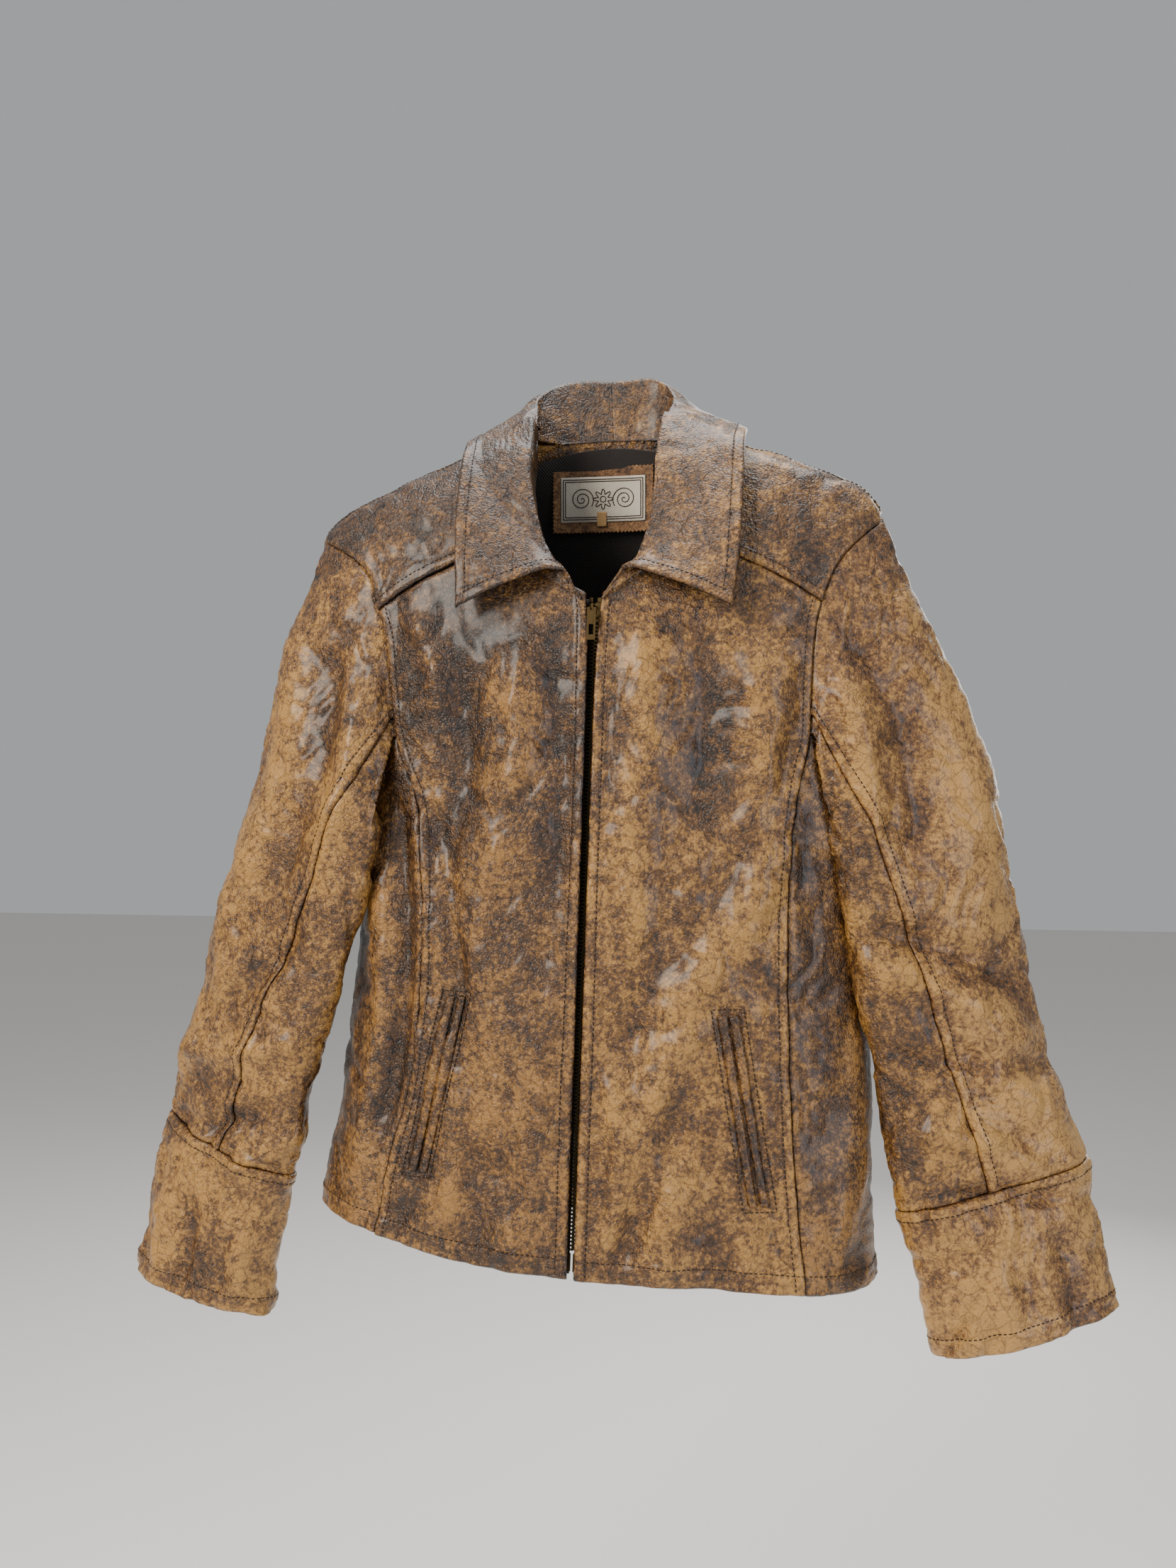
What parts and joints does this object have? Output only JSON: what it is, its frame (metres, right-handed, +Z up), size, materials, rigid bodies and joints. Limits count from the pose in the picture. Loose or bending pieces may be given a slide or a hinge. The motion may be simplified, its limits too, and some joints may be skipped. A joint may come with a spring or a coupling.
{
  "type": "leather zip jacket",
  "caption": "Hip-length leather jacket with a pointed collar, front zip, slanted jetted pockets and two-piece sleeves with cuff bands, hanging closed",
  "frame": {"origin": "middle of the neck, level with the tops of the shoulders, where a hanger carries the jacket", "axes": "+X the wearer's left, -Y the front, +Z up"},
  "size_m": [0.8079, 0.18, 0.7847],
  "materials": {
    "leather": "distressed waxed tan and dark brown, semi-gloss",
    "patch_leather": "rough split leather with pinked edges",
    "lining": "dark brown satin",
    "pocketing": "plain black cotton",
    "zip_tape": "black woven tape",
    "woven_label": "woven satin",
    "size_tab": "woven",
    "antique_brass": "dark antique brass, satin"
  },
  "bodies": {
    "body": {"back_panel": "leather", "back_yoke": "leather", "front_yoke_left": "leather", "front_yoke_right": "leather", "side_panel_left": "leather", "side_panel_right": "leather", "back_lining": "lining", "side_lining_left": "lining", "side_lining_right": "lining", "collar_leaf_back": "leather", "collar_stand_back": "leather", "label_patch": "patch_leather", "label": "woven_label", "size_tab": "size_tab"},
    "front_left": {"front_panel_left": "leather", "front_facing_left": "leather", "front_lining_left": "lining", "pocket_welt_front_left": "leather", "pocket_welt_back_left": "leather", "pocket_bag_left": "pocketing", "zip_tape_left": "zip_tape", "zip_teeth_left": "antique_brass", "top_stop_left": "antique_brass", "collar_leaf_left": "leather", "collar_stand_left": "leather", "zip_retainer_box": "antique_brass"},
    "sleeve_left": {"top_sleeve_left": "leather", "under_sleeve_left": "leather", "cuff_left": "leather", "sleeve_lining_left": "lining"},
    "front_right": {"front_panel_right": "leather", "front_facing_right": "leather", "front_lining_right": "lining", "pocket_welt_front_right": "leather", "pocket_welt_back_right": "leather", "pocket_bag_right": "pocketing", "zip_tape_right": "zip_tape", "zip_teeth_right": "antique_brass", "top_stop_right": "antique_brass", "collar_leaf_right": "leather", "collar_stand_right": "leather", "zip_pin": "antique_brass"},
    "sleeve_right": {"top_sleeve_right": "leather", "under_sleeve_right": "leather", "cuff_right": "leather", "sleeve_lining_right": "lining"},
    "zip_slider": {"zip_slider": "antique_brass"},
    "pull_tab": {"pull_tab": "antique_brass"}
  },
  "joints": [
    {"name": "front_left_open", "type": "hinge", "parent": "body", "child": "front_left", "pos_m": [0.178, -0.0455, -0.141], "axis": [0.0291, 0.0291, 0.9992], "range_deg": [0, 25]},
    {"name": "front_right_open", "type": "hinge", "parent": "body", "child": "front_right", "pos_m": [-0.1785, -0.0465, -0.141], "axis": [0.0193, -0.0387, -0.9991], "range_deg": [0, 25]},
    {"name": "zip_slide", "type": "slide", "parent": "front_left", "child": "zip_slider", "axis": [-0.0251, -0.0618, -0.9978], "range_m": [0, 0.47], "deforming": ["zip_teeth_left", "zip_teeth_right", "zip_tape_left", "zip_tape_right"]},
    {"name": "pull_tab_swing", "type": "hinge", "parent": "zip_slider", "child": "pull_tab", "pos_m": [0.00267, -0.0768, -0.14541], "axis": [-0.9997, 0.0016, 0.025], "range_deg": [0, 35]},
    {"name": "sleeve_left_raise", "type": "hinge", "parent": "body", "child": "sleeve_left", "pos_m": [0.222, 0, -0.077], "axis": [0, -1, 0], "range_deg": [0, 30]},
    {"name": "sleeve_right_raise", "type": "hinge", "parent": "body", "child": "sleeve_right", "pos_m": [-0.236, 0, -0.078], "axis": [0, 1, 0], "range_deg": [0, 30]}
  ]
}
